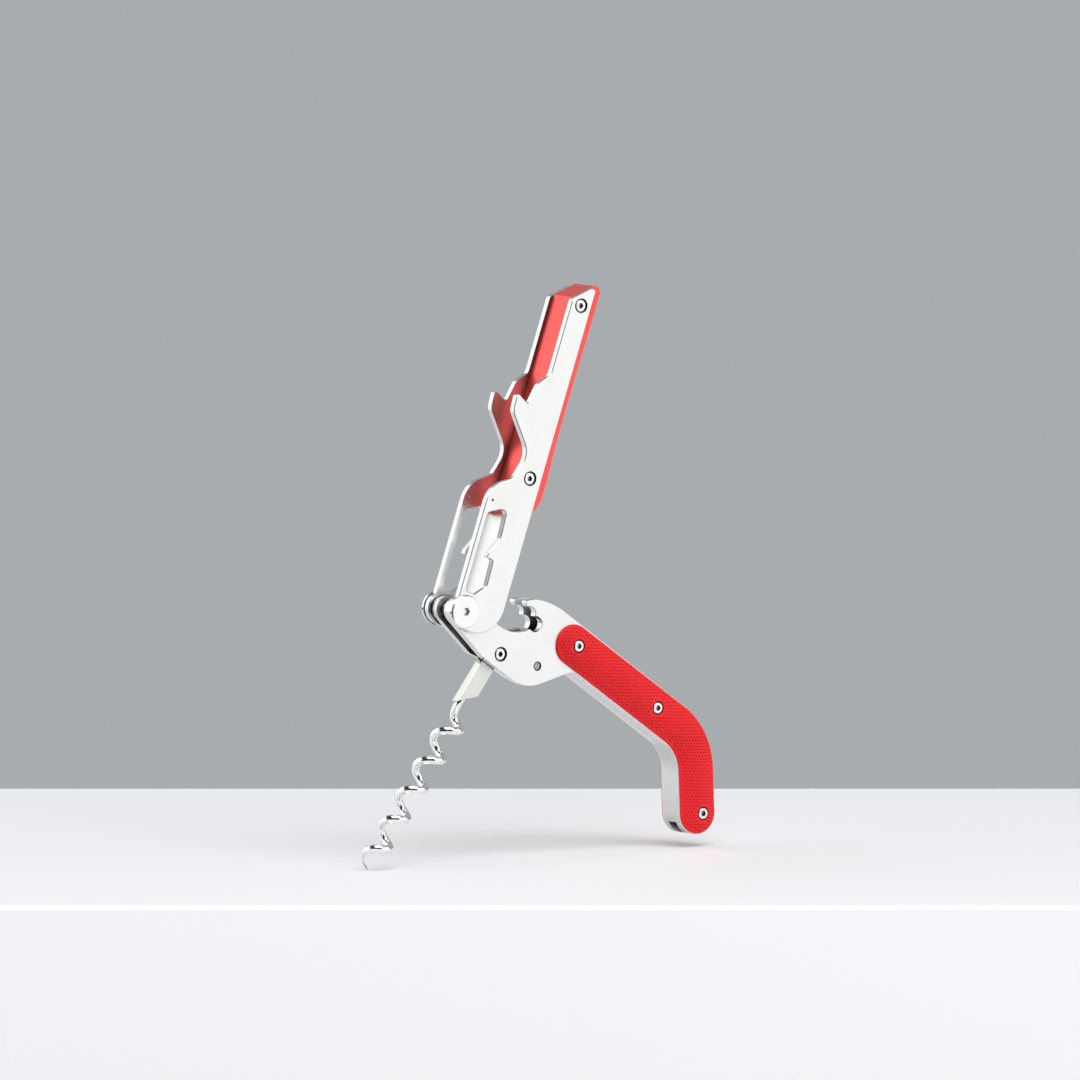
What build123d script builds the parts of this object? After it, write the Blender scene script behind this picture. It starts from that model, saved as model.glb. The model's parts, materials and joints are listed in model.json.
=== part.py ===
from build123d import *

import os
from math import acos, asin, atan2, cos, degrees, pi, radians, sin, sqrt

# Waiter's corkscrew, opened. Two steel body plates carry a curved handle with red grips, a lever that turns
# on the main pivot, and a worm that folds out between the plates. The layers stack along Y, evenly about the
# mid-plane Y = 0. The front faces -Y, +Z is up and +X runs from the lever pivot towards the handle. The
# origin is the centre of the open corkscrew's box.

# ---------------------------------------------------------------- driving dimensions (millimetres, degrees)

PIVOT_X = -31.5  # main pivot, measured from the centre of the box
PIVOT_Z = -9.0

# Layers, as distances from the mid-plane
BODY_INNER = 2.0
BODY_OUTER = 4.5
LEVER_INNER = 5.0
LEVER_OUTER = 7.0
HEAD_INNER = 7.08
HEAD_OUTER = 8.3
WASHER_OUTER = 4.9
EDGE_BREAK = 0.2

# Main pivot
PIVOT_RADIUS = 2.2
PIVOT_CLEARANCE = 0.05
PIVOT_THREAD_RADIUS = 1.25
HEAD_RADIUS = 5.1
HEAD_SOCKET_RADIUS = 1.4
HEAD_PIN_HOLE_RADIUS = 0.35
HEAD_PIN_HOLE_DEPTH = 2.0
HEAD_PIN_HOLE_RISE = 0.45
HEAD_CHAMFER = 0.35
HEAD_SOCKET_DEPTH = 1.0
HEAD_STUB_END = 1.0
RING_RADIUS = 3.8
WASHER_RADIUS = 3.6

# Lever, in its own frame: u runs from the pivot towards the tip, w is square to it on the notched side
LEVER_ANGLE = 70.4
LEVER_NECK_RADIUS = 4.8
LEVER_HEEL = (4.5, -4.6)
LEVER_HEEL_RADIUS = 9.6
LEVER_BACK = -14.2
LEVER_STRIP = 3.2
LEVER_UPPER_EDGE = -6.85
LEVER_TIP_U = 107.0
LEVER_SCREWS = ((44.9, -10.0), (99.8, -10.5))
LEVER_EYE = (34.9, 1.1)
LEVER_EYE_RADIUS = 0.45
STOP_PIN = (3.45, -9.7)
STOP_PIN_RADIUS = 1.75
SPINE_FACE = -7.8

# Jaw in the body's top edge
JAW_HEEL = (13.7, -4.5)
JAW_FLOOR = (20.4, -7.6)
LOWER_LOBE = (28.3, -5.7)
LOWER_LOBE_RADIUS = 2.4
UPPER_LOBE = (26.2, -2.3)
UPPER_LOBE_RADIUS = 2.15
LOBE_CUSP = (28.1, -3.31)
NOSE_TIP = (24.85, 0.75)
NOSE_TOP = (25.15, 1.5)

# Lower corner of each plate: belly and the end of its straight edge, with their radii
BELLY = {
    "front": (((24.3, -25.47), 13.0), ((8.5, -14.4), 4.0)),
    "rear": (((26.2, -24.9), 13.0), ((13.1, -16.0), 4.0), ((8.4, -13.9), 2.0)),
}

# Handle: a strip of even width, straight, then bent down nearly to vertical
HANDLE_START = (42.0, -12.8)
HANDLE_CORNER = (87.3, -44.51)
HANDLE_END = (88.2, -67.05)
HANDLE_HALF_WIDTH = 6.5
HANDLE_BEND_RADIUS = 18.65
SPACER_START_X = 38.6
SPACER_END_Z = -69.7
GRIP_HALF_WIDTH = 6.25
GRIP_EDGE = 0.5
GRIP_CROWN = 2.25
GRIP_SEAT = 0.9
GRIP_SCREWS = ((43.0, -13.1), (72.3, -33.7), (89.2, -67.05))
GRIP_RECESS_RADIUS = 2.1

# Screws
SCREW_POCKET_RADIUS = 2.3
SCREW_HEAD_RADIUS = 1.86
SCREW_SOCKET_RADIUS = 0.95
SCREW_SINK = 0.2
LEVER_SCREW_POCKET = 1.4
WORM_SCREW_POCKET = 1.6
SCREW_SHANK_RADIUS = 1.1
GRIP_SCREW_HEAD_RADIUS = 1.75
GRIP_SCREW_SHANK_RADIUS = 0.95
LEVER_SCREW_END = 1.0
BODY_SCREW_END = 0.3
HEAD_ROUNDING_SHARE = 0.3
SOCKET_DEPTH_SHARE = 0.6
STAR_CORE_SHARE = 0.76
STAR_LOBE_RING_SHARE = 0.72
STAR_LOBE_SHARE = 0.28

# Worm, in its own frame: s runs from the worm pivot towards the point, t is square to it on the handle side
WORM_PIVOT = (15.4, -14.1)
WORM_ANGLE = 232.8
WORM_BARREL_RADIUS = 1.9
WORM_EYE_RADIUS = 3.5
SHANK_HALF_WIDTH = 2.85
SHANK_THICKNESS = 2.8
SHANK_SHORT_SIDE = 14.0
SHANK_LONG_SIDE = 19.4
SHANK_CHAMFER = 0.25
WORM_SIDE_GAP = 0.1
WIRE_RADIUS = 1.25
WIRE_SIDE = -1.2
WIRE_TAIL = 11.0
WIRE_EXIT = 17.4
HELIX_RADIUS = 3.0
HELIX_SIDE = 0.8
HELIX_START = 24.85
HELIX_PITCH = 10.76
HELIX_TURNS = 4.87
HELIX_LEAD_IN = 1 / 6
TAPER_TURNS = 0.55
TAPER_STEPS = 6
TAPER_POWER = 1.3
POINT_RADIUS = 0.12

# Fold stop of the worm and the leaf that drags on its eye
FOLD_STOP = (28.9, -18.5)
FOLD_STOP_RADIUS = 1.45
FOLD_STOP_HALF_LENGTH = 4.25
FOLD_STOP_ROUNDING = 0.6
LEAF_THICKNESS = 0.6
LEAF_HALF_WIDTH = 1.5
LEAF_ROUTE = ((42.0, -12.7), (38.0, -12.5), (27.0, -11.0), (16.2, -10.2))

SIDES = (("front", 1), ("rear", -1))

# ---------------------------------------------------------------- frames and repeated shapes


def side(depth, angle=0.0, at=(0.0, 0.0)):
    """Plane parallel to the plates, depth in front of the mid-plane, centred at a point seen from the pivot."""
    turned = (cos(radians(angle)), 0, sin(radians(angle)))
    return Plane(origin=(PIVOT_X + at[0], -depth, PIVOT_Z + at[1]), x_dir=turned, z_dir=(0, -1, 0))


def lever_side(depth):
    """The same plane turned so that its x runs along the lever."""
    return side(depth, LEVER_ANGLE)


def worm_side(depth):
    """The same plane with its origin on the worm pivot and its x along the worm."""
    return side(depth, WORM_ANGLE, WORM_PIVOT)


def polar(center, radius, angle):
    """Point at a radius and an angle about a centre."""
    return (center[0] + radius * cos(radians(angle)), center[1] + radius * sin(radians(angle)))


def between(inner, outer, sign):
    """Depth of the plane that a layer is extruded forwards from, for the front (1) or the rear (-1)."""
    return inner if sign > 0 else -outer


def outer_edges(piece, depth, sign):
    """Edges that lie in the outward face of a layer."""
    face = -sign * depth
    return piece.edges().filter_by_position(Axis.Y, face - 0.01, face + 0.01)


def star(plane, radius):
    """Six-lobed driver socket."""
    with BuildSketch(plane) as socket:
        Circle(STAR_CORE_SHARE * radius)
        with PolarLocations(STAR_LOBE_RING_SHARE * radius, 6):
            Circle(STAR_LOBE_SHARE * radius)
    return socket.sketch


def write_piece(piece, label):
    """Names a finished piece and writes its file."""
    piece.part.label = label
    export_step(piece.part, f"parts/{label}.step")


# ---------------------------------------------------------------- outlines


def handle_edge(offset):
    """Corner and end of a line beside the handle's middle line; a positive offset lies on its upper side."""
    corner = Vector(*HANDLE_CORNER)
    end = Vector(*HANDLE_END)
    first = (corner - Vector(*HANDLE_START)).normalized()
    last = (end - corner).normalized()
    first_side = Vector(-first.Y, first.X)
    last_side = Vector(-last.Y, last.X)
    turned = corner + (first_side + last_side) * (offset / (1 + first_side.dot(last_side)))
    ended = end + last * HANDLE_HALF_WIDTH + last_side * offset
    return (turned.X, turned.Y), (ended.X, ended.Y)


def ring_touch(point, turn):
    """Where a line from a point touches the pivot ring, on its upper (1) or lower (-1) side."""
    away = Vector(*point)
    angle = degrees(atan2(away.Y, away.X)) + turn * degrees(acos(RING_RADIUS / away.length))
    return polar((0, 0), RING_RADIUS, angle)


def body_outline(plane, belly):
    """Ring, hooked jaw, handle and belly of a body plate."""
    ring_top = ring_touch(JAW_HEEL, 1)
    ring_foot = ring_touch(belly[-1][0], -1)
    jaw_back = polar(LOWER_LOBE, LOWER_LOBE_RADIUS, 220)
    nose_root = polar(UPPER_LOBE, UPPER_LOBE_RADIUS, 105)
    outer_corner, outer_end = handle_edge(HANDLE_HALF_WIDTH)
    inner_corner, inner_end = handle_edge(-HANDLE_HALF_WIDTH)
    end_radius = 0.99 * HANDLE_HALF_WIDTH
    outer_bend = HANDLE_BEND_RADIUS + HANDLE_HALF_WIDTH
    inner_bend = HANDLE_BEND_RADIUS - HANDLE_HALF_WIDTH
    with BuildSketch(plane) as outline:
        with BuildLine():
            ThreePointArc(ring_foot, polar((0, 0), RING_RADIUS, 140), ring_top)
            Line(ring_top, JAW_HEEL)
            ThreePointArc(JAW_HEEL, JAW_FLOOR, jaw_back)
            ThreePointArc(jaw_back, polar(LOWER_LOBE, LOWER_LOBE_RADIUS, 332), LOBE_CUSP)
            ThreePointArc(LOBE_CUSP, polar(UPPER_LOBE, UPPER_LOBE_RADIUS, 40), nose_root)
            ThreePointArc(nose_root, NOSE_TIP, NOSE_TOP)
            FilletPolyline(
                NOSE_TOP,
                (28.0, 2.05),
                (35.0, 0.35),
                outer_corner,
                outer_end,
                inner_end,
                inner_corner,
                (42.2, -20.85),
                *[point for point, radius in belly],
                ring_foot,
                radius=[8, 24, outer_bend, end_radius, end_radius, inner_bend, 5, *[radius for point, radius in belly]],
            )
        make_face()
    return outline.sketch


def lever_outline(plane):
    """Lever plate with its neck, lip notch, hook, upper step and slanted tip, and the window with its tooth."""
    neck_top = (sqrt(LEVER_NECK_RADIUS**2 - LEVER_STRIP**2), LEVER_STRIP)
    neck_foot = polar((0, 0), LEVER_NECK_RADIUS, 176.1)
    heel_top = polar(LEVER_HEEL, LEVER_HEEL_RADIUS, 176.1)
    heel_foot = (LEVER_HEEL[0], LEVER_BACK)
    with BuildSketch(plane) as outline:
        with BuildLine():
            ThreePointArc(heel_foot, polar(LEVER_HEEL, LEVER_HEEL_RADIUS, 220), heel_top)
            Line(heel_top, neck_foot)
            ThreePointArc(neck_foot, polar((0, 0), LEVER_NECK_RADIUS, 110), neck_top)
            FilletPolyline(
                neck_top,
                (38.6, LEVER_STRIP),
                (43.6, -4.4),
                (51.9, -7.0),
                (62.4, 2.8),
                (68.3, 3.1),
                (65.9, -2.0),
                (72.8, -3.5),
                (76.6, LEVER_UPPER_EDGE),
                (100.8, LEVER_UPPER_EDGE),
                (LEVER_TIP_U, LEVER_BACK),
                heel_foot,
                radius=[9, 2.6, 6.5, 4, 0.8, 0.9, 3, 3, 1.8, 0.9],
            )
        make_face()
        with BuildLine():
            FilletPolyline(
                (6.2, 1.5),
                (30.9, 1.5),
                (34.2, -5.1),
                (24.6, -5.6),
                (19.4, -2.8),
                (18.0, -2.8),
                (17.8, -5.3),
                (9.2, -5.6),
                (6.0, -2.6),
                radius=[1, 1.5, 1.6, 3, 0.35, 0.3, 1.0, 2, 1.2],
                close=True,
            )
        make_face(mode=Mode.SUBTRACT)
    return outline.sketch


def spine_outline(plane):
    """Strip between the lever plates that stands proud along their back edge."""
    with BuildSketch(plane) as outline:
        with BuildLine():
            foot = Line((33.0, SPINE_FACE), (101.63, SPINE_FACE))
            slant = Line(foot @ 1, (106.9, -14.1))
            nose = ThreePointArc(slant @ 1, (107.2, -15.9), (105.2, -17.2))
            back = Spline(
                nose @ 1,
                (88.0, -17.1),
                (70.0, -16.9),
                (53.0, -17.2),
                (42.0, -17.5),
                (37.6, -16.7),
                (34.4, -14.4),
                tangents=((-1, -0.02), (-0.55, 0.83)),
            )
            Spline(back @ 1, (32.5, -11.0), foot @ 0, tangents=(back % 1, (0.6, 0.8)))
        make_face()
    return outline.sketch


def handle_axis(plane):
    """Middle line of the handle."""
    with BuildLine(plane) as axis:
        FilletPolyline(HANDLE_START, HANDLE_CORNER, HANDLE_END, radius=HANDLE_BEND_RADIUS)
    return axis.line


# ---------------------------------------------------------------- screws


def screw(side_sign, plane_at, head_top, head_bottom, head_radius, shank_radius, shank_end):
    """Button-headed screw whose socket faces outwards, as one solid."""
    with BuildPart() as fastener:
        with BuildSketch(plane_at(between(head_bottom, head_top, side_sign))):
            Circle(head_radius)
        extrude(amount=head_top - head_bottom)
        fillet(outer_edges(fastener, head_top, side_sign), HEAD_ROUNDING_SHARE * (head_top - head_bottom))
        with BuildSketch(plane_at(between(shank_end, head_bottom, side_sign))):
            Circle(shank_radius)
        extrude(amount=head_bottom - shank_end)
        socket_depth = SOCKET_DEPTH_SHARE * (head_top - head_bottom)
        floor = between(head_top - socket_depth, head_top, side_sign)
        extrude(star(plane_at(floor), SCREW_SOCKET_RADIUS), amount=socket_depth, mode=Mode.SUBTRACT)
    return fastener.part


def at_point(point, angle=0.0):
    """Maker of planes parallel to the plates that are centred on a point."""
    return lambda depth: side(depth, angle, point)


def lever_point(point):
    """A point of the lever's own frame, seen from the pivot along X and Z."""
    along = radians(LEVER_ANGLE)
    return (point[0] * cos(along) - point[1] * sin(along), point[0] * sin(along) + point[1] * cos(along))


os.makedirs("parts", exist_ok=True)

# ---------------------------------------------------------------- body: plates, spacer, grips

for place, sign in SIDES:
    with BuildPart() as body_plate:
        outline = body_outline(side(between(BODY_INNER, BODY_OUTER, sign)), BELLY[place])
        extrude(outline, amount=BODY_OUTER - BODY_INNER)
        fillet(outer_edges(body_plate, BODY_OUTER, sign), EDGE_BREAK)
        with BuildSketch(side(-BODY_OUTER)):
            Circle(PIVOT_RADIUS)
            with Locations(FOLD_STOP):
                Circle(FOLD_STOP_RADIUS)
            with Locations(WORM_PIVOT):
                Circle(SCREW_SHANK_RADIUS)
            with Locations(*GRIP_SCREWS):
                Circle(GRIP_SCREW_SHANK_RADIUS)
        extrude(amount=2 * BODY_OUTER, mode=Mode.SUBTRACT)
        with BuildSketch(side(between(BODY_OUTER - WORM_SCREW_POCKET, BODY_OUTER, sign), at=WORM_PIVOT)):
            Circle(SCREW_POCKET_RADIUS)
        extrude(amount=WORM_SCREW_POCKET, mode=Mode.SUBTRACT)
    write_piece(body_plate, f"body_plate_{place}")

with BuildPart() as handle_spacer:
    extrude(body_outline(side(-BODY_INNER), BELLY["front"]), amount=2 * BODY_INNER)
    with BuildSketch(side(-BODY_INNER)):
        with BuildLine():
            Polyline(
                (SPACER_START_X, 5),
                (100, 5),
                (100, SPACER_END_Z),
                (70, SPACER_END_Z),
                (SPACER_START_X, -30),
                close=True,
            )
        make_face()
        with Locations(*GRIP_SCREWS):
            Circle(GRIP_SCREW_SHANK_RADIUS, mode=Mode.SUBTRACT)
    extrude(amount=2 * BODY_INNER, mode=Mode.INTERSECT)
    with BuildSketch(side(-LEAF_HALF_WIDTH)):
        with BuildLine():
            Spline(*LEAF_ROUTE)
        trace(line_width=LEAF_THICKNESS)
    extrude(amount=2 * LEAF_HALF_WIDTH, mode=Mode.SUBTRACT)
write_piece(handle_spacer, "handle_spacer")

dome_rise = GRIP_CROWN - GRIP_EDGE
dome_radius = (GRIP_HALF_WIDTH**2 + dome_rise**2) / (2 * dome_rise)
dome_tilt = degrees(asin(GRIP_HALF_WIDTH / dome_radius))
for place, sign in SIDES:
    with BuildPart() as grip:
        base = side(sign * BODY_OUTER)
        path = handle_axis(base)
        outward = Vector(0, -sign, 0)
        for end, heading in ((0, path % 0 * -1), (1, path % 1)):
            across = heading.cross(outward)
            cut = Plane(origin=path @ end, x_dir=across, z_dir=across.cross(outward))
            with BuildSketch(cut):
                with BuildLine():
                    dome = CenterArc((0, GRIP_CROWN - dome_radius), dome_radius, 90 - dome_tilt, dome_tilt)
                    Polyline(dome @ 1, (0, 0), (GRIP_HALF_WIDTH, 0), dome @ 0)
                make_face()
            revolve(axis=Axis(path @ end, outward), revolution_arc=180)
        start = Plane(origin=path @ 0, x_dir=outward.cross(path % 0), z_dir=path % 0)
        with BuildSketch(start):
            with BuildLine():
                left_edge = (-GRIP_HALF_WIDTH, GRIP_EDGE)
                right_edge = (GRIP_HALF_WIDTH, GRIP_EDGE)
                Polyline(left_edge, (-GRIP_HALF_WIDTH, 0), (GRIP_HALF_WIDTH, 0), right_edge)
                ThreePointArc(left_edge, (0, GRIP_CROWN), right_edge)
            make_face()
        sweep(path=path)
        head_floor = BODY_OUTER + GRIP_SEAT
        with BuildSketch(side(between(head_floor, LEVER_OUTER, sign))):
            with Locations(*GRIP_SCREWS):
                Circle(GRIP_RECESS_RADIUS)
        extrude(amount=LEVER_OUTER - head_floor, mode=Mode.SUBTRACT)
        with BuildSketch(side(between(BODY_OUTER, LEVER_OUTER, sign))):
            with Locations(*GRIP_SCREWS):
                Circle(GRIP_SCREW_SHANK_RADIUS)
        extrude(amount=LEVER_OUTER - BODY_OUTER, mode=Mode.SUBTRACT)
    write_piece(grip, f"grip_{place}")

with BuildPart() as grip_screws:
    for sign in (1, -1):
        for point in GRIP_SCREWS:
            crown = BODY_OUTER + GRIP_CROWN - SCREW_SINK
            seat = BODY_OUTER + GRIP_SEAT
            radii = (GRIP_SCREW_HEAD_RADIUS, GRIP_SCREW_SHANK_RADIUS)
            add(screw(sign, at_point(point), crown, seat, *radii, BODY_SCREW_END))
write_piece(grip_screws, "grip_screws")

# ---------------------------------------------------------------- main pivot

with BuildPart() as pivot_barrel:
    with BuildSketch(side(-HEAD_INNER)):
        Circle(PIVOT_RADIUS)
        Circle(PIVOT_THREAD_RADIUS, mode=Mode.SUBTRACT)
    extrude(amount=2 * HEAD_INNER)
write_piece(pivot_barrel, "pivot_barrel")

for place, sign in SIDES:
    with BuildPart() as pivot_head:
        with BuildSketch(side(between(HEAD_INNER, HEAD_OUTER, sign))):
            Circle(HEAD_RADIUS)
        extrude(amount=HEAD_OUTER - HEAD_INNER)
        chamfer(outer_edges(pivot_head, HEAD_OUTER, sign), HEAD_CHAMFER)
        with BuildSketch(side(between(HEAD_STUB_END, HEAD_INNER, sign))):
            Circle(PIVOT_THREAD_RADIUS)
        extrude(amount=HEAD_INNER - HEAD_STUB_END)
        socket = star(side(between(HEAD_OUTER - HEAD_SOCKET_DEPTH, HEAD_OUTER, sign)), HEAD_SOCKET_RADIUS)
        extrude(socket, amount=HEAD_SOCKET_DEPTH, mode=Mode.SUBTRACT)
        middle = sign * (HEAD_INNER + HEAD_PIN_HOLE_RISE)
        rim = Plane(origin=(PIVOT_X - HEAD_RADIUS, -middle, PIVOT_Z), z_dir=(1, 0, 0))
        with BuildSketch(rim):
            Circle(HEAD_PIN_HOLE_RADIUS)
        extrude(amount=HEAD_PIN_HOLE_DEPTH, mode=Mode.SUBTRACT)
    write_piece(pivot_head, f"pivot_head_{place}")

    with BuildPart() as pivot_washer:
        with BuildSketch(side(between(BODY_OUTER, WASHER_OUTER, sign))):
            Circle(WASHER_RADIUS)
            Circle(PIVOT_RADIUS, mode=Mode.SUBTRACT)
        extrude(amount=WASHER_OUTER - BODY_OUTER)
    write_piece(pivot_washer, f"pivot_washer_{place}")

# ---------------------------------------------------------------- lever

for place, sign in SIDES:
    with BuildPart() as lever_plate:
        outline = lever_outline(lever_side(between(LEVER_INNER, LEVER_OUTER, sign)))
        extrude(outline, amount=LEVER_OUTER - LEVER_INNER)
        chamfer(outer_edges(lever_plate, LEVER_OUTER, sign), EDGE_BREAK)
        with BuildSketch(lever_side(-LEVER_OUTER)):
            Circle(PIVOT_RADIUS + PIVOT_CLEARANCE)
            with Locations(STOP_PIN):
                Circle(STOP_PIN_RADIUS)
            with Locations(LEVER_EYE):
                Circle(LEVER_EYE_RADIUS)
            with Locations(*LEVER_SCREWS):
                Circle(SCREW_SHANK_RADIUS)
        extrude(amount=2 * LEVER_OUTER, mode=Mode.SUBTRACT)
        with BuildSketch(lever_side(between(LEVER_OUTER - LEVER_SCREW_POCKET, LEVER_OUTER, sign))):
            with Locations(*LEVER_SCREWS):
                Circle(SCREW_POCKET_RADIUS)
        extrude(amount=LEVER_SCREW_POCKET, mode=Mode.SUBTRACT)
    write_piece(lever_plate, f"lever_plate_{place}")

with BuildPart() as lever_spine:
    extrude(spine_outline(lever_side(-LEVER_INNER)), amount=2 * LEVER_INNER)
    with BuildSketch(lever_side(-LEVER_INNER)):
        with Locations(*LEVER_SCREWS):
            Circle(SCREW_SHANK_RADIUS)
    extrude(amount=2 * LEVER_INNER, mode=Mode.SUBTRACT)
write_piece(lever_spine, "lever_spine")

with BuildPart() as lever_screws:
    for sign in (1, -1):
        for point in LEVER_SCREWS:
            crown = LEVER_OUTER - SCREW_SINK
            seat = LEVER_OUTER - LEVER_SCREW_POCKET
            place = at_point(lever_point(point))
            add(screw(sign, place, crown, seat, SCREW_HEAD_RADIUS, SCREW_SHANK_RADIUS, LEVER_SCREW_END))
write_piece(lever_screws, "lever_screws")

with BuildPart() as lever_stop_pin:
    with BuildSketch(lever_side(-LEVER_OUTER)):
        with Locations(STOP_PIN):
            Circle(STOP_PIN_RADIUS)
    extrude(amount=2 * LEVER_OUTER)
write_piece(lever_stop_pin, "lever_stop_pin")

# ---------------------------------------------------------------- worm and its pivot

with BuildPart() as worm_shank:
    with BuildSketch(worm_side(-SHANK_THICKNESS / 2)):
        with BuildLine():
            Polyline(
                (0, SHANK_HALF_WIDTH),
                (SHANK_SHORT_SIDE, SHANK_HALF_WIDTH),
                (SHANK_LONG_SIDE, -SHANK_HALF_WIDTH),
                (0, -SHANK_HALF_WIDTH),
                close=True,
            )
        make_face()
        Circle(WORM_EYE_RADIUS)
    extrude(amount=SHANK_THICKNESS)
    for sign in (1, -1):
        chamfer(outer_edges(worm_shank, SHANK_THICKNESS / 2, sign), SHANK_CHAMFER)
    with BuildSketch(worm_side(-SHANK_THICKNESS / 2)):
        Circle(WORM_BARREL_RADIUS + PIVOT_CLEARANCE)
    extrude(amount=SHANK_THICKNESS, mode=Mode.SUBTRACT)
    along_worm = worm_side(0).x_dir
    tail = Plane(origin=worm_side(0).from_local_coords((WIRE_TAIL, WIRE_SIDE, 0)), z_dir=along_worm)
    with BuildSketch(tail):
        Circle(WIRE_RADIUS)
    extrude(amount=SHANK_LONG_SIDE - WIRE_TAIL, mode=Mode.SUBTRACT)
write_piece(worm_shank, "worm_shank")

# Frame of the helix: z along the worm, x towards the handle side, y towards the front
coil_origin = worm_side(0).from_local_coords((0, HELIX_SIDE, 0))
worm_frame = Plane(origin=coil_origin, x_dir=worm_side(0).y_dir, z_dir=along_worm)


def helix_plane(turn):
    """Plane square to the wire at a number of turns from the start of the helix."""
    angle = 2 * pi * turn
    reach = HELIX_START + HELIX_PITCH * turn
    point = (HELIX_RADIUS * cos(angle), HELIX_RADIUS * sin(angle), reach)
    rise = HELIX_PITCH / (2 * pi)
    heading = (-HELIX_RADIUS * sin(angle), HELIX_RADIUS * cos(angle), rise)
    origin = worm_frame.from_local_coords(point)
    ahead = worm_frame.from_local_coords(Vector(*point) + Vector(*heading))
    return Plane(origin=origin, z_dir=ahead - origin)


lead_in = helix_plane(-HELIX_LEAD_IN)
taper_start = HELIX_TURNS - TAPER_TURNS
wire_exit = worm_side(0).from_local_coords((WIRE_EXIT, WIRE_SIDE, 0))
coil_foot = worm_frame.from_local_coords((0, 0, HELIX_START - HELIX_PITCH * HELIX_LEAD_IN))
coil_base = Plane(origin=coil_foot, x_dir=lead_in.origin - coil_foot, z_dir=worm_frame.z_dir)
coil = Location(coil_base) * Helix(HELIX_PITCH, HELIX_PITCH * (taper_start + HELIX_LEAD_IN), HELIX_RADIUS)

with BuildPart() as worm_helix:
    with BuildSketch(tail):
        Circle(WIRE_RADIUS)
    extrude(amount=WIRE_EXIT - WIRE_TAIL)
    with BuildLine() as neck:
        Spline(wire_exit, lead_in.origin, tangents=(worm_frame.z_dir, lead_in.z_dir))
    with BuildSketch(Plane(origin=wire_exit, z_dir=worm_frame.z_dir)):
        Circle(WIRE_RADIUS)
    sweep(path=neck.line)
    with BuildSketch(lead_in):
        Circle(WIRE_RADIUS)
    sweep(path=coil, is_frenet=True)
    for step in range(TAPER_STEPS + 1):
        share = step / TAPER_STEPS
        with BuildSketch(helix_plane(taper_start + TAPER_TURNS * share)):
            Circle(WIRE_RADIUS + (POINT_RADIUS - WIRE_RADIUS) * share**TAPER_POWER)
    loft()
write_piece(worm_helix, "worm_helix")

with BuildPart() as worm_pivot_barrel:
    with BuildSketch(side(-BODY_INNER, at=WORM_PIVOT)):
        Circle(WORM_BARREL_RADIUS)
        Circle(SCREW_SHANK_RADIUS, mode=Mode.SUBTRACT)
    extrude(amount=2 * BODY_INNER)
write_piece(worm_pivot_barrel, "worm_pivot_barrel")

with BuildPart() as worm_pivot_screws:
    for sign in (1, -1):
        crown = BODY_OUTER - SCREW_SINK
        seat = BODY_OUTER - WORM_SCREW_POCKET
        place = at_point(WORM_PIVOT)
        add(screw(sign, place, crown, seat, SCREW_HEAD_RADIUS, SCREW_SHANK_RADIUS, BODY_SCREW_END))
write_piece(worm_pivot_screws, "worm_pivot_screws")

for place, sign in SIDES:
    with BuildPart() as worm_washer:
        inner = SHANK_THICKNESS / 2 + WORM_SIDE_GAP
        with BuildSketch(side(between(inner, BODY_INNER, sign), at=WORM_PIVOT)):
            Circle(WORM_EYE_RADIUS)
            Circle(WORM_BARREL_RADIUS, mode=Mode.SUBTRACT)
        extrude(amount=BODY_INNER - inner)
    write_piece(worm_washer, f"worm_washer_{place}")

with BuildPart() as fold_stop_pin:
    with BuildSketch(side(-FOLD_STOP_HALF_LENGTH, at=FOLD_STOP)):
        Circle(FOLD_STOP_RADIUS)
    extrude(amount=2 * FOLD_STOP_HALF_LENGTH)
    for sign in (1, -1):
        fillet(outer_edges(fold_stop_pin, FOLD_STOP_HALF_LENGTH, sign), FOLD_STOP_ROUNDING)
write_piece(fold_stop_pin, "fold_stop_pin")

with BuildPart() as friction_leaf:
    with BuildSketch(side(-LEAF_HALF_WIDTH)):
        with BuildLine():
            Spline(*LEAF_ROUTE)
        trace(line_width=LEAF_THICKNESS)
    extrude(amount=2 * LEAF_HALF_WIDTH)
write_piece(friction_leaf, "friction_leaf")
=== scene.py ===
import json
from math import atan2, cos, pi, radians, sin, sqrt, tan

import bpy
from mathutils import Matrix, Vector
from mathutils.geometry import delaunay_2d_cdt


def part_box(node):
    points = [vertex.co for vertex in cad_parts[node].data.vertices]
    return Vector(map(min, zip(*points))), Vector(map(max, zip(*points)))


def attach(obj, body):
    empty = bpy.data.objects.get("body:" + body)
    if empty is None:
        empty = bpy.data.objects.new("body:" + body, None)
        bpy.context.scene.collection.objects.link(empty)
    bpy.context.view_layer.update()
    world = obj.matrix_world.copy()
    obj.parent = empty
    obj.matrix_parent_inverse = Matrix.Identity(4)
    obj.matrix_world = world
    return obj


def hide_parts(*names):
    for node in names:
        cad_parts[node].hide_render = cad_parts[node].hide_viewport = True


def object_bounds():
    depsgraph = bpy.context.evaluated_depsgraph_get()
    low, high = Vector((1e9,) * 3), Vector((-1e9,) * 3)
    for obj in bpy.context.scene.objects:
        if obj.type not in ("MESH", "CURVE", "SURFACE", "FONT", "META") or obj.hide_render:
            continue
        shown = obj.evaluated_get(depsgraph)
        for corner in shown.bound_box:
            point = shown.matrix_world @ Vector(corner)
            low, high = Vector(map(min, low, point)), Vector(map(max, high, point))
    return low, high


# Looks of the waiter's corkscrew: satin and polished steel, red anodised spine, dimpled red grips and a
# polished worm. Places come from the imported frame. Shapes are worked out in millimetres, and MM turns them
# into the frame's metres.

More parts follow.
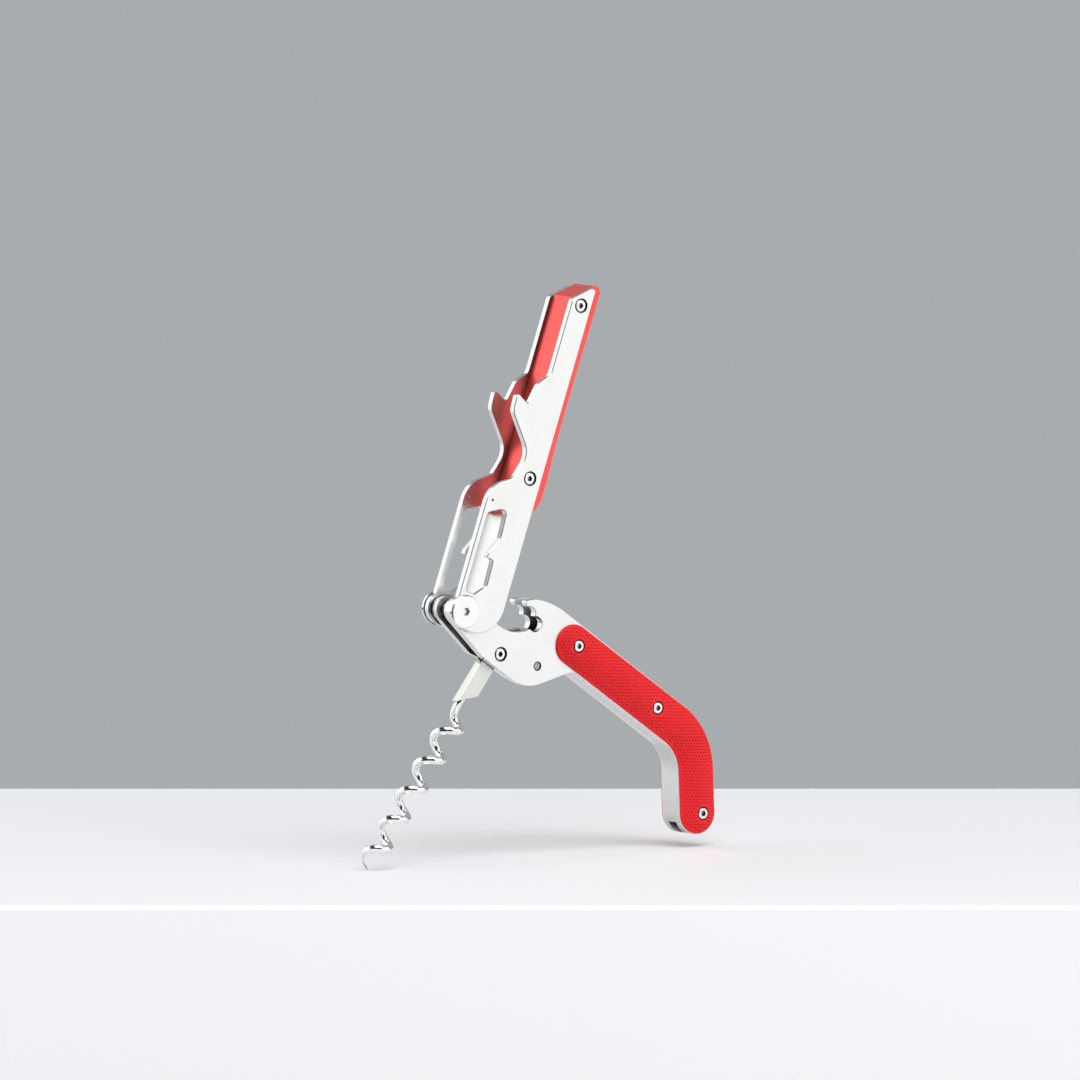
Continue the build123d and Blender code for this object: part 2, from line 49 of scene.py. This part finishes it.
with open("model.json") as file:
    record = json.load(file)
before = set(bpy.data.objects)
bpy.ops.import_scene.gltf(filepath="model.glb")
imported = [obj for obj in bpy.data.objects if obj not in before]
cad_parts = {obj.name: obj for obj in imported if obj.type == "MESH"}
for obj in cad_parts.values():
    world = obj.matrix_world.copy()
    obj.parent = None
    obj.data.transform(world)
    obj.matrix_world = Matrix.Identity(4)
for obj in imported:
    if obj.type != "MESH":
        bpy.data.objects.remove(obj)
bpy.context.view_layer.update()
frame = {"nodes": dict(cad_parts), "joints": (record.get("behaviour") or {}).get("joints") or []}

MM = 0.001

# Grips, with places as (x, z): a strip of even width that runs straight, bends down and ends in half rounds
AXIS_START = Vector((10.5, -21.8))
AXIS_CORNER = Vector((55.8, -53.51))
AXIS_END = Vector((56.7, -76.05))
GRIP_HALF_WIDTH = 6.25
GRIP_BEND_RADIUS = 18.65
GRIP_CROWN = 2.25
GRIP_EDGE = 0.5
GRIP_SEAT = 0.9
GRIP_ROUNDING = 0.35
GRIP_OUTLINE_STEP = 0.45
SHOULDER_STEPS = 6
SHARP_ANGLE = 38.0
# Triangles smaller than this, made of rim points alone, lie on the rim's straight runs and are dropped
SLIVER_AREA = 0.001

# Screw recesses: growth of the radius and drop below the dome, from the eased rim inwards
RECESS_RADIUS = 2.1
RECESS_EASE = ((0.15, 0.0), (0.04, 0.05), (0.0, 0.16))
RECESS_POINTS = 28
SHANK_RADIUS = 0.95

# Dimples: radius and depth of each ring, from the rim down
DIMPLE_PITCH = 1.1
DIMPLE_ROW_SLOPE = -4.0
DIMPLE_MARGIN = 0.75
DIMPLE_RINGS = ((0.31, 0.0), (0.26, 0.09), (0.15, 0.20))
DIMPLE_POINTS = 10
DIMPLE_DEPTH = 0.24
DIMPLE_FIELD = 90

# Camera: the place that it looks at, and its distance in metres
CAMERA_AZIMUTH = -35.0
CAMERA_ELEVATION = 5.5
CAMERA_DISTANCE = 6.0
CAMERA_LENS = 660.0
CAMERA_TARGET = (1.5, 0.0, 10.3)

# Studio: pale grey wall behind the object, dim room behind the camera
WALL_GREY = (0.392, 0.413, 0.425, 1.0)
ROOM_GREY = (0.05, 0.05, 0.053, 1.0)
# Share of the wall, from none to all, against the cosine of the angle between a direction and the view
WALL_START = 0.15
WALL_END = 0.75

# Table: reach behind and in front of the lever pivot, half its width, thickness and eased edge
TABLE_BACK = 213.0
TABLE_FRONT = 107.0
TABLE_HALF_WIDTH = 700.0
TABLE_THICKNESS = 140.0
TABLE_EDGE = 1.5
TABLE_GAP = 0.05
TABLE_WHITE = (0.87, 0.875, 0.90)
TABLE_ROUGHNESS = 0.6
# Emission on the table's front edge: painted light for a lamp that only the front edge gets
TABLE_FRONT_GLOW = 0.52

# Softboxes: name, azimuth, elevation, distance, width and height in metres, and power in watts
SOFTBOXES = (
    ("high_front_softbox", -10, 56, 1.8, 1.8, 1.2, 26),
    ("front_right_softbox", 38, 8, 1.5, 2.0, 2.0, 15),
    ("left_softbox", -105, 10, 1.4, 0.9, 1.0, 5),
    ("top_softbox", 0, 88, 1.6, 0.8, 0.8, 4.5),
    ("left_rear_softbox", -148, 18, 1.4, 1.4, 1.8, 10),
)

# Slopes of the handle, lever and shank in degrees, for the run of the grain
HANDLE_LEAN = 35.0
LEVER_LEAN = 70.4
SHANK_LEAN = 52.8

# Painted shade in sockets, gaps and corners: its colour, then for each surface how far off a wall counts,
# and the shares of open sky, between 0 and 1, where the painted shade is full and where it ends
PAINTED_SHADE_COLOUR = (0.035, 0.032, 0.03, 1.0)
PLATE_PAINTED_SHADE = (6.0, 0.04, 0.34)
# Extra painted shade on plate faces that look towards the middle plane, taken off their share of open sky
PLATE_INNER_SHADE = 0.4
SCREW_PAINTED_SHADE = (3.0, 0.45, 0.92)
DIMPLE_PAINTED_SHADE = (0.6, 0.55, 0.95)
# Red of the painted shade down in the dimples
DIMPLE_SHADE_RED = (0.52, 0.008, 0.012, 1.0)
HOLLOW_SAMPLES = 8

# ---------------------------------------------------------------- materials


def new_material(name):
    """An empty node material, its tree and its Principled shader."""
    material = bpy.data.materials.new(name)
    material.use_nodes = True
    tree = material.node_tree
    return material, tree, tree.nodes["Principled BSDF"]


def node(tree, kind, **values):
    """A node with its input values filled in."""
    made = tree.nodes.new(kind)
    for key, value in values.items():
        made.inputs[key.replace("_", " ")].default_value = value
    return made


def coordinates(tree, scale=(1.0, 1.0, 1.0), turn=0.0):
    """Object coordinates in millimetres, turned about Y and stretched."""
    source = tree.nodes.new("ShaderNodeTexCoord")
    mapping = tree.nodes.new("ShaderNodeMapping")
    mapping.inputs["Rotation"].default_value = (0.0, radians(turn), 0.0)
    mapping.inputs["Scale"].default_value = [part / MM for part in scale]
    tree.links.new(source.outputs["Object"], mapping.inputs["Vector"])
    return mapping.outputs["Vector"]


def noise(tree, vector, scale, detail=2.0, roughness=0.5):
    """Noise over a vector, from 0 to 1."""
    made = node(tree, "ShaderNodeTexNoise", Scale=scale, Detail=detail, Roughness=roughness)
    tree.links.new(vector, made.inputs["Vector"])
    return made.outputs["Fac"]


def spread(tree, value, low, high, start=0.3, end=0.7):
    """Maps a value between start and end to low and high."""
    made = node(tree, "ShaderNodeMapRange", From_Min=start, From_Max=end, To_Min=low, To_Max=high)
    tree.links.new(value, made.inputs["Value"])
    return made.outputs["Result"]


def fill(tree, sockets, values):
    """Gives input sockets their values, or links them to the sockets given."""
    for socket, value in zip(sockets, values):
        if isinstance(value, bpy.types.NodeSocket):
            tree.links.new(value, socket)
        else:
            socket.default_value = value


def mix(tree, share, first, second):
    """Colours mixed by a share; first and second may be sockets or colours."""
    made = tree.nodes.new("ShaderNodeMix")
    made.data_type = "RGBA"
    tree.links.new(share, made.inputs["Factor"])
    colour_sockets = [socket for socket in made.inputs if socket.type == "RGBA"]
    fill(tree, colour_sockets, (first, second))
    return next(socket for socket in made.outputs if socket.type == "RGBA")


def combine(tree, operation, first, second):
    """A math node over sockets or numbers."""
    made = tree.nodes.new("ShaderNodeMath")
    made.operation = operation
    fill(tree, made.inputs[:2], (first, second))
    return made.outputs["Value"]


def blend_numbers(tree, share, first, second):
    """The first number where the share is 0 and the second where it is 1."""
    change = combine(tree, "MULTIPLY", share, combine(tree, "SUBTRACT", second, first))
    return combine(tree, "ADD", first, change)


def surface_facing(tree):
    """The Y part of the surface's normal."""
    geometry = tree.nodes.new("ShaderNodeNewGeometry")
    parts = tree.nodes.new("ShaderNodeSeparateXYZ")
    tree.links.new(geometry.outputs["Normal"], parts.inputs["Vector"])
    return parts.outputs["Y"]


def flat_share(tree):
    """1 on faces that look along Y, such as plate faces, and 0 on cut edges."""
    return spread(tree, combine(tree, "ABSOLUTE", surface_facing(tree), 0.0), 0.0, 1.0, 0.5, 0.9)


def inner_share(tree):
    """1 on plate faces that look towards the object's middle plane, and 0 elsewhere."""
    source = tree.nodes.new("ShaderNodeTexCoord")
    place = tree.nodes.new("ShaderNodeSeparateXYZ")
    tree.links.new(source.outputs["Object"], place.inputs["Vector"])
    product = combine(tree, "MULTIPLY", place.outputs["Y"], surface_facing(tree))
    return spread(tree, product, 1.0, 0.0, -2 * MM, -1 * MM)


def openness(tree, reach):
    """Node whose AO output is the share of open sky, blocked by what stands within the reach."""
    hollow = node(tree, "ShaderNodeAmbientOcclusion", Distance=reach * MM)
    hollow.samples = HOLLOW_SAMPLES
    return hollow


def shade_recesses(tree, shader, colour, shade_settings, inner_shade=0.0):
    """Painted shade that darkens the colour down in sockets, gaps and corners, and more on inner faces."""
    reach, start, end = shade_settings
    sky = openness(tree, reach).outputs["AO"]
    if inner_shade:
        sky = combine(tree, "SUBTRACT", sky, combine(tree, "MULTIPLY", inner_share(tree), inner_shade))
    share = spread(tree, sky, 0.0, 1.0, start, end)
    tree.links.new(mix(tree, share, PAINTED_SHADE_COLOUR, colour), shader.inputs["Base Color"])


def bump(tree, shader, height, strength, distance):
    """Fine relief under the shader."""
    made = node(tree, "ShaderNodeBump", Strength=strength, Distance=distance * MM)
    tree.links.new(height, made.inputs["Height"])
    tree.links.new(made.outputs["Normal"], shader.inputs["Normal"])


def satin_steel(name, colour, face_roughness, edge_roughness, grain_turn=0.0, streaks=0.5, inner=None):
    """Steel plate with a fine brushed face, smoother cut edges and inner faces of their own roughness."""
    material, tree, shader = new_material(name)
    shader.inputs["Metallic"].default_value = 1.0
    fine = noise(tree, coordinates(tree, (0.35, 4.0, 6.0), grain_turn), 1.6, 3.0, 0.6)
    grain = noise(tree, coordinates(tree), 4.5, 3.0, 0.65)
    cloud = noise(tree, coordinates(tree), 0.11, 2.0)
    marks = combine(tree, "ADD", combine(tree, "MULTIPLY", fine, streaks), grain)
    face = combine(tree, "ADD", spread(tree, marks, -0.06, 0.06, 0.4, 1.1), face_roughness)
    face = combine(tree, "ADD", face, spread(tree, cloud, -0.04, 0.04))
    edge = spread(tree, grain, edge_roughness - 0.05, edge_roughness + 0.06)
    share = flat_share(tree)
    rough = blend_numbers(tree, share, edge, face)
    if inner is not None:
        polish = spread(tree, grain, inner - 0.03, inner + 0.03)
        rough = blend_numbers(tree, inner_share(tree), rough, polish)
    tree.links.new(rough, shader.inputs["Roughness"])
    dark = [part * 0.94 for part in colour] + [1.0]
    # Cut edges are painted a fifth darker than the faces: painted shade on the plate walls
    cut = [part * 0.80 for part in colour] + [1.0]
    tint = mix(tree, spread(tree, marks, 0.0, 1.0, 0.4, 1.1), dark, [*colour, 1.0])
    tint = mix(tree, share, cut, tint)
    # Painted shade in recesses and gaps, and more on the inner faces that look into the gap between the
    # plates
    shade_recesses(tree, shader, tint, PLATE_PAINTED_SHADE, PLATE_INNER_SHADE)
    bump(tree, shader, marks, 0.25, 0.012)
    return material


def polished_steel(name, colour, low, high, scratch=0.006):
    """Bright turned or drawn steel with a few fine scratches."""
    material, tree, shader = new_material(name)
    shader.inputs["Metallic"].default_value = 1.0
    cloud = noise(tree, coordinates(tree), 0.8, 4.0, 0.6)
    scratches = noise(tree, coordinates(tree, (5.0, 5.0, 0.7), 25.0), 1.8, 2.0, 0.7)
    tree.links.new(spread(tree, cloud, low, high), shader.inputs["Roughness"])
    tone = mix(tree, spread(tree, cloud, 0.0, 0.5), [*colour, 1.0], [part * 0.85 for part in colour] + [1.0])
    # Painted shade down in the screw sockets and round the heads
    shade_recesses(tree, shader, tone, SCREW_PAINTED_SHADE)
    bump(tree, shader, scratches, 0.08, scratch)
    return material


def anodised_red(name):
    """Fine matt anodised red of the spine."""
    material, tree, shader = new_material(name)
    shader.inputs["Metallic"].default_value = 0.7
    shader.inputs["Specular IOR Level"].default_value = 0.6
    grain = noise(tree, coordinates(tree), 5.0, 3.0, 0.7)
    along = noise(tree, coordinates(tree, (0.12, 1.0, 1.5), LEVER_LEAN), 0.9, 3.0)
    cloud = noise(tree, coordinates(tree), 0.09, 2.0)
    tree.links.new(spread(tree, grain, 0.30, 0.40), shader.inputs["Roughness"])
    tone = combine(tree, "ADD", combine(tree, "MULTIPLY", along, 0.5), combine(tree, "MULTIPLY", cloud, 0.5))
    colour = mix(tree, spread(tree, tone, 0.0, 1.0), (0.90, 0.085, 0.075, 1.0), (0.95, 0.115, 0.100, 1.0))
    tree.links.new(colour, shader.inputs["Base Color"])
    bump(tree, shader, grain, 0.2, 0.01)
    return material


def moulded_red(name):
    """Matt moulded red of the grips, with painted shade that darkens it down in the dimples."""
    material, tree, shader = new_material(name)
    shader.inputs["Specular IOR Level"].default_value = 0.25
    grain = noise(tree, coordinates(tree), 3.2, 4.0, 0.65)
    cloud = noise(tree, coordinates(tree), 0.07, 3.0)
    tree.links.new(spread(tree, grain, 0.46, 0.60), shader.inputs["Roughness"])
    colour = mix(tree, spread(tree, cloud, 0.0, 1.0), (0.80, 0.013, 0.018, 1.0), (0.88, 0.018, 0.023, 1.0))
    # Painted shade: darker red where the dimple walls close off the open sky
    reach, start, end = DIMPLE_PAINTED_SHADE
    hollow = openness(tree, reach)
    hollow.only_local = True
    share = spread(tree, hollow.outputs["AO"], 0.0, 1.0, start, end)
    tree.links.new(mix(tree, share, DIMPLE_SHADE_RED, colour), shader.inputs["Base Color"])
    bump(tree, shader, grain, 0.12, 0.01)
    return material


def dark_bronze(name):
    """Oiled bronze of the thrust washers."""
    material, tree, shader = new_material(name)
    shader.inputs["Metallic"].default_value = 1.0
    cloud = noise(tree, coordinates(tree), 1.1, 4.0, 0.6)
    tree.links.new(spread(tree, cloud, 0.3, 0.5), shader.inputs["Roughness"])
    colour = mix(tree, spread(tree, cloud, 0.0, 1.0), (0.10, 0.075, 0.05, 1.0), (0.20, 0.14, 0.085, 1.0))
    tree.links.new(colour, shader.inputs["Base Color"])
    bump(tree, shader, cloud, 0.15, 0.01)
    return material


def pale_matt(name, colour, roughness, glow=0.0):
    """Smooth painted surface for the table; glow stands for a light that only the front edge gets."""
    material, tree, shader = new_material(name)
    cloud = noise(tree, coordinates(tree), 0.01, 3.0)
    grey = [part * 0.985 for part in colour] + [1.0]
    tree.links.new(mix(tree, cloud, grey, [*colour, 1.0]), shader.inputs["Base Color"])
    shader.inputs["Roughness"].default_value = roughness
    shader.inputs["Emission Color"].default_value = [*colour, 1.0]
    shader.inputs["Emission Strength"].default_value = glow
    return material


def wear(names, material):
    """Gives CAD nodes a material in place of the plain one they came with."""
    for name in names:
        for holder in frame["nodes"][name].material_slots:
            holder.material = material


plate_steel = satin_steel("plate_steel", (0.86, 0.86, 0.85), 0.42, 0.24, HANDLE_LEAN)
lever_steel = satin_steel("lever_steel", (0.86, 0.86, 0.85), 0.40, 0.22, LEVER_LEAN, inner=0.24)
shank_steel = satin_steel("shank_steel", (0.72, 0.72, 0.69), 0.40, 0.12, SHANK_LEAN)
spacer_steel = satin_steel("spacer_steel", (0.84, 0.84, 0.82), 0.40, 0.30, HANDLE_LEAN)
screw_steel = polished_steel("screw_steel", (0.88, 0.88, 0.87), 0.14, 0.22)
head_steel = satin_steel("head_steel", (0.88, 0.88, 0.87), 0.34, 0.20, streaks=0.2)
pivot_steel = polished_steel("pivot_steel", (0.80, 0.80, 0.79), 0.12, 0.20)
pin_steel = polished_steel("pin_steel", (0.78, 0.79, 0.80), 0.20, 0.30)
stop_steel = polished_steel("stop_steel", (0.34, 0.36, 0.40), 0.16, 0.26)
worm_steel = polished_steel("worm_steel", (0.90, 0.90, 0.88), 0.06, 0.12, 0.003)
leaf_steel = polished_steel("leaf_steel", (0.30, 0.32, 0.36), 0.30, 0.42)
spine_red = anodised_red("spine_red")
grip_red = moulded_red("grip_red")
bronze = dark_bronze("washer_bronze")

wear(("body_plate_front", "body_plate_rear"), plate_steel)
wear(("lever_plate_front", "lever_plate_rear"), lever_steel)
wear(("lever_spine",), spine_red)
wear(("handle_spacer",), spacer_steel)
wear(("grip_screws", "lever_screws", "worm_pivot_screws"), screw_steel)
wear(("pivot_head_front", "pivot_head_rear"), head_steel)
wear(("pivot_barrel", "worm_pivot_barrel"), pivot_steel)
wear(("lever_stop_pin",), pin_steel)
wear(("fold_stop_pin",), stop_steel)
wear(("pivot_washer_front", "pivot_washer_rear", "worm_washer_front", "worm_washer_rear"), bronze)
wear(("worm_shank",), shank_steel)
wear(("worm_helix",), worm_steel)
wear(("friction_leaf",), leaf_steel)

# ---------------------------------------------------------------- grips


def left_of(heading):
    """Vector square to a heading and as long, which for a run of the grip is on its upper and outer side."""
    return Vector((-heading.y, heading.x))


def bearing(vector):
    """Angle of a vector in the grip's plane."""
    return atan2(vector.y, vector.x)


FIRST_RUN = (AXIS_CORNER - AXIS_START).normalized()
LAST_RUN = (AXIS_END - AXIS_CORNER).normalized()
FIRST_SIDE = left_of(FIRST_RUN)
LAST_SIDE = left_of(LAST_RUN)
BEND_REACH = GRIP_BEND_RADIUS * tan(FIRST_RUN.angle(LAST_RUN) / 2)
BEND_START = AXIS_CORNER - FIRST_RUN * BEND_REACH
BEND_END = AXIS_CORNER + LAST_RUN * BEND_REACH
BEND_CENTER = BEND_END - LAST_SIDE * GRIP_BEND_RADIUS


def axis_distance(point):
    """Distance of a point from the grip's middle line."""

    def from_run(first, last):
        run = last - first
        share = max(0.0, min(1.0, (point - first).dot(run) / run.length_squared))
        return (point - first - run * share).length

    nearest = min(from_run(AXIS_START, BEND_START), from_run(BEND_END, AXIS_END))
    ray = point - BEND_CENTER
    if bearing(LAST_SIDE) <= bearing(ray) <= bearing(FIRST_SIDE):
        nearest = min(nearest, abs(ray.length - GRIP_BEND_RADIUS))
    return nearest


def grip_outline(half_width):
    """Closed outline at a distance from the grip's middle line, with the same point count at any width."""
    points = []

    def arc(center, radius, nominal, first, last):
        steps = round(abs(last - first) * nominal / GRIP_OUTLINE_STEP)
        for step in range(steps):
            angle = first + (last - first) * step / steps
            points.append(center + radius * Vector((cos(angle), sin(angle))))

    def run(first, last):
        steps = round((last - first).length / GRIP_OUTLINE_STEP)
        for step in range(steps):
            points.append(first.lerp(last, step / steps))

    upper = FIRST_SIDE * half_width
    outer = LAST_SIDE * half_width
    tilt = bearing(FIRST_SIDE)
    lean = bearing(LAST_SIDE)
    inner_bend = GRIP_BEND_RADIUS - GRIP_HALF_WIDTH
    outer_bend = GRIP_BEND_RADIUS + GRIP_HALF_WIDTH
    arc(AXIS_START, half_width, GRIP_HALF_WIDTH, tilt, tilt + pi)
    run(AXIS_START - upper, BEND_START - upper)
    arc(BEND_CENTER, GRIP_BEND_RADIUS - half_width, inner_bend, tilt, lean)
    run(BEND_END - outer, AXIS_END - outer)
    arc(AXIS_END, half_width, GRIP_HALF_WIDTH, lean + pi, lean + 2 * pi)
    run(AXIS_END + outer, BEND_END + outer)
    arc(BEND_CENTER, GRIP_BEND_RADIUS + half_width, outer_bend, lean, tilt)
    run(BEND_START + upper, AXIS_START + upper)
    return points


def ring(center, radius, count):
    """Points evenly round a circle."""
    angles = [2 * pi * step / count for step in range(count)]
    return [center + radius * Vector((cos(angle), sin(angle))) for angle in angles]


DOME_RISE = GRIP_CROWN - GRIP_EDGE
DOME_RADIUS = (GRIP_HALF_WIDTH**2 + DOME_RISE**2) / (2 * DOME_RISE)


def dome_height(point):
    """Height of the undimpled grip above its base."""
    away = min(axis_distance(point), GRIP_HALF_WIDTH)
    return GRIP_CROWN - DOME_RADIUS + sqrt(DOME_RADIUS**2 - away**2)


def grip_screw_places():
    """Middles of the three grip screws as (x, z), from the loose parts of their node."""
    mesh = frame["nodes"]["grip_screws"].data
    front = [Vector((v.co.x, v.co.z)) / MM for v in mesh.vertices if v.co.y < 0]
    groups = []
    for point in front:
        for group in groups:
            if (group[0] - point).length < 2 * RECESS_RADIUS:
                group.append(point)
                break
        else:
            groups.append([point])
    places = []
    for group in groups:
        xs = [point.x for point in group]
        zs = [point.y for point in group]
        places.append(Vector(((min(xs) + max(xs)) / 2, (min(zs) + max(zs)) / 2)))
    return places


def dimple_centers(screws):
    """Hexagonal lattice of dimples that keeps clear of the border and of the screws."""
    slope = radians(DIMPLE_ROW_SLOPE)
    along = Vector((cos(slope), sin(slope))) * DIMPLE_PITCH
    across = left_of(along) * sqrt(3) / 2
    reach = int(DIMPLE_FIELD / DIMPLE_PITCH)
    for row in range(-reach, reach):
        for column in range(-reach, reach):
            center = AXIS_CORNER + across * row + along * (column + 0.5 * (row % 2))
            if axis_distance(center) > GRIP_HALF_WIDTH - DIMPLE_MARGIN:
                continue
            if min((center - screw).length for screw in screws) < RECESS_RADIUS + DIMPLE_MARGIN:
                continue
            yield center


class Surface:
    """Points in the grip's plane with their heights, and the edges that its faces keep."""

    def __init__(self):
        self.points = []
        self.heights = []
        self.edges = []

    def add(self, point, height):
        self.points.append(point)
        self.heights.append(height)

    def loop(self, points, heights):
        """A closed ring of points that the faces keep as edges; returns their indices."""
        first = len(self.points)
        for point, height in zip(points, heights):
            self.add(point, height)
        count = len(points)
        self.edges += [(first + step, first + (step + 1) % count) for step in range(count)]
        return list(range(first, first + count))


def faces_between(points, edges, outer, holes, half_width):
    """Triangles inside the outer ring and outside the holes, counter-clockwise, as indices of the points."""
    _, _, faces, origins, _, _ = delaunay_2d_cdt(points, edges, [], 0, 1e-6)
    kept = []
    for face in faces:
        corners = [origins[index][0] for index in face]
        first, second, third = (points[corner] for corner in corners)
        area = (second - first).cross(third - first) / 2
        if any(hole.issuperset(corners) for hole in holes):
            continue
        if outer.issuperset(corners) and abs(area) < SLIVER_AREA:
            continue
        if axis_distance((first + second + third) / 3) > half_width + 0.001:
            continue
        kept.append(corners if area > 0 else corners[::-1])
    return kept


def grip_mesh(sign):
    """Mesh of one dimpled grip; sign is 1 in front and -1 behind."""
    screws = grip_screw_places()
    top = Surface()
    inset = GRIP_HALF_WIDTH - GRIP_ROUNDING

    def domed_loop(points):
        return top.loop(points, [dome_height(point) for point in points])

    top_rim = domed_loop(grip_outline(inset))
    recess_width = RECESS_RADIUS + RECESS_EASE[0][0]
    recess_rims = [domed_loop(ring(screw, recess_width, RECESS_POINTS)) for screw in screws]
    for center in dimple_centers(screws):
        for radius, depth in DIMPLE_RINGS:
            points = ring(center, radius, DIMPLE_POINTS)
            top.loop(points, [dome_height(point) - depth for point in points])
        top.add(center, dome_height(center) - DIMPLE_DEPTH)
    polygons = faces_between(top.points, top.edges, set(top_rim), [set(rim) for rim in recess_rims], inset)
    verts = [(point.x, height, point.y) for point, height in zip(top.points, top.heights)]

    def level_loop(points, heights):
        """A further ring of vertices."""
        first = len(verts)
        verts.extend((point.x, height, point.y) for point, height in zip(points, heights))
        return list(range(first, len(verts)))

    def wall(upper, lower):
        """Faces between two rings; they look towards the middle of the rings."""
        count = len(upper)
        for step in range(count):
            after = (step + 1) % count
            polygons.append([upper[step], upper[after], lower[after], lower[step]])

    # Rounded shoulder and side wall, from the rim of the top down to the base
    rims = [top_rim]
    shoulder_height = top.heights[top_rim[0]]
    for step in range(1, SHOULDER_STEPS + 1):
        angle = radians(90 * step / SHOULDER_STEPS)
        points = grip_outline(inset + GRIP_ROUNDING * sin(angle))
        rims.append(level_loop(points, [shoulder_height - GRIP_ROUNDING * (1 - cos(angle))] * len(points)))
    points = grip_outline(GRIP_HALF_WIDTH)
    rims.append(level_loop(points, [0.0] * len(points)))
    for upper, lower in zip(rims, rims[1:]):
        wall(lower, upper)
    # Recesses: eased rim, cylinder, seat and shank hole
    floors = []
    for screw, rim in zip(screws, recess_rims):
        loops = [rim]
        for growth, drop in RECESS_EASE[1:]:
            points = ring(screw, RECESS_RADIUS + growth, RECESS_POINTS)
            loops.append(level_loop(points, [dome_height(point) - drop for point in points]))
        for radius, height in ((RECESS_RADIUS, GRIP_SEAT), (SHANK_RADIUS, GRIP_SEAT), (SHANK_RADIUS, 0.0)):
            loops.append(level_loop(ring(screw, radius, RECESS_POINTS), [height] * RECESS_POINTS))
        for upper, lower in zip(loops, loops[1:]):
            wall(upper, lower)
        floors.append(loops[-1])
    # Flat base
    base = Surface()
    names = []
    flat_rings = []
    for rim in (rims[-1], *floors):
        names += rim
        points = [Vector((verts[index][0], verts[index][2])) for index in rim]
        flat_rings.append(set(base.loop(points, [0.0] * len(rim))))
    for face in faces_between(base.points, base.edges, flat_rings[0], flat_rings[1:], GRIP_HALF_WIDTH):
        polygons.append([names[corner] for corner in reversed(face)])
    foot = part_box("grip_front")[1].y / MM
    placed = [(x * MM, sign * (foot - height) * MM, z * MM) for x, height, z in verts]
    if sign < 0:
        polygons = [face[::-1] for face in polygons]
    mesh = bpy.data.meshes.new("grip")
    mesh.from_pydata(placed, [], polygons)
    mesh.validate()
    return mesh


def make_grips():
    for place, sign in (("front", 1), ("rear", -1)):
        mesh = grip_mesh(sign)
        grip = bpy.data.objects.new(f"grip_{place}_dimpled", mesh)
        bpy.context.scene.collection.objects.link(grip)
        mesh.materials.append(grip_red)
        mesh.shade_smooth()
        mesh.set_sharp_from_angle(angle=radians(SHARP_ANGLE))
        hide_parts(f"grip_{place}")
        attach(grip, "body")


make_grips()

# ---------------------------------------------------------------- table, light and camera


def direction(azimuth, elevation):
    """Unit vector from the object towards a place seen at an azimuth and elevation."""
    flat = cos(radians(elevation))
    return Vector((sin(radians(azimuth)) * flat, -cos(radians(azimuth)) * flat, sin(radians(elevation))))


def make_table():
    """Plain pale table top under the object, with a back edge and a front edge square to the view."""
    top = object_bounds()[0].z / MM - TABLE_GAP
    ease = 0.3 * TABLE_EDGE
    across = direction(CAMERA_AZIMUTH + 90, 0)
    towards = direction(CAMERA_AZIMUTH, 0)
    pivot = Vector(frame["joints"][0]["pos_m"]) / MM
    layers = ((TABLE_EDGE, top), (ease, top - ease), (0.0, top - TABLE_EDGE), (0.0, top - TABLE_THICKNESS))
    verts = []
    for inset, height in layers:
        side = TABLE_HALF_WIDTH - inset
        front = TABLE_FRONT - inset
        back = inset - TABLE_BACK
        for sideways, forward in ((-side, front), (side, front), (side, back), (-side, back)):
            spot = pivot + across * sideways + towards * forward
            verts.append((spot.x * MM, spot.y * MM, height * MM))
    faces = [(0, 1, 2, 3), (15, 14, 13, 12)]
    for layer in range(3):
        for corner in range(4):
            after = (corner + 1) % 4
            upper, lower = 4 * layer, 4 * layer + 4
            faces.append((upper + corner, lower + corner, lower + after, upper + after))
    mesh = bpy.data.meshes.new("table")
    mesh.from_pydata(verts, [], faces)
    mesh.materials.append(pale_matt("table_white", TABLE_WHITE, TABLE_ROUGHNESS))
    mesh.materials.append(pale_matt("table_front_white", TABLE_WHITE, TABLE_ROUGHNESS, TABLE_FRONT_GLOW))
    for face in mesh.polygons:
        face.material_index = int(face.normal.dot(towards) > 0.9)
    table = bpy.data.objects.new("table", mesh)
    bpy.context.scene.collection.objects.link(table)


def softbox(name, azimuth, elevation, distance, width, height, power):
    """Rectangular studio light aimed at the object's middle."""
    lamp = bpy.data.lights.new(name, "AREA")
    lamp.shape = "RECTANGLE"
    lamp.size = width
    lamp.size_y = height
    lamp.energy = power
    holder = bpy.data.objects.new(name, lamp)
    bpy.context.scene.collection.objects.link(holder)
    aim = direction(azimuth, elevation)
    holder.location = aim * distance
    holder.rotation_euler = aim.to_track_quat("Z", "Y").to_euler()
    holder.visible_camera = False


def make_world():
    world = bpy.data.worlds.new("studio")
    world.use_nodes = True
    tree = world.node_tree
    background = tree.nodes["Background"]
    source = tree.nodes.new("ShaderNodeTexCoord")
    facing = tree.nodes.new("ShaderNodeVectorMath")
    facing.operation = "DOT_PRODUCT"
    facing.inputs[1].default_value = -direction(CAMERA_AZIMUTH, 0)
    tree.links.new(source.outputs["Generated"], facing.inputs[0])
    share = spread(tree, facing.outputs["Value"], 0.0, 1.0, WALL_START, WALL_END)
    tree.links.new(mix(tree, share, ROOM_GREY, WALL_GREY), background.inputs["Color"])
    background.inputs["Strength"].default_value = 1.0
    bpy.context.scene.world = world


def make_camera():
    lens = bpy.data.cameras.new("camera")
    lens.lens = CAMERA_LENS
    lens.sensor_width = 36.0
    lens.clip_start = 0.05
    camera = bpy.data.objects.new("camera", lens)
    bpy.context.scene.collection.objects.link(camera)
    back = direction(CAMERA_AZIMUTH, CAMERA_ELEVATION)
    camera.location = Vector(CAMERA_TARGET) * MM + back * CAMERA_DISTANCE
    camera.rotation_euler = back.to_track_quat("Z", "Y").to_euler()
    bpy.context.scene.camera = camera


make_table()
for settings in SOFTBOXES:
    softbox(*settings)
make_world()
make_camera()
bpy.context.scene.view_settings.view_transform = "Standard"
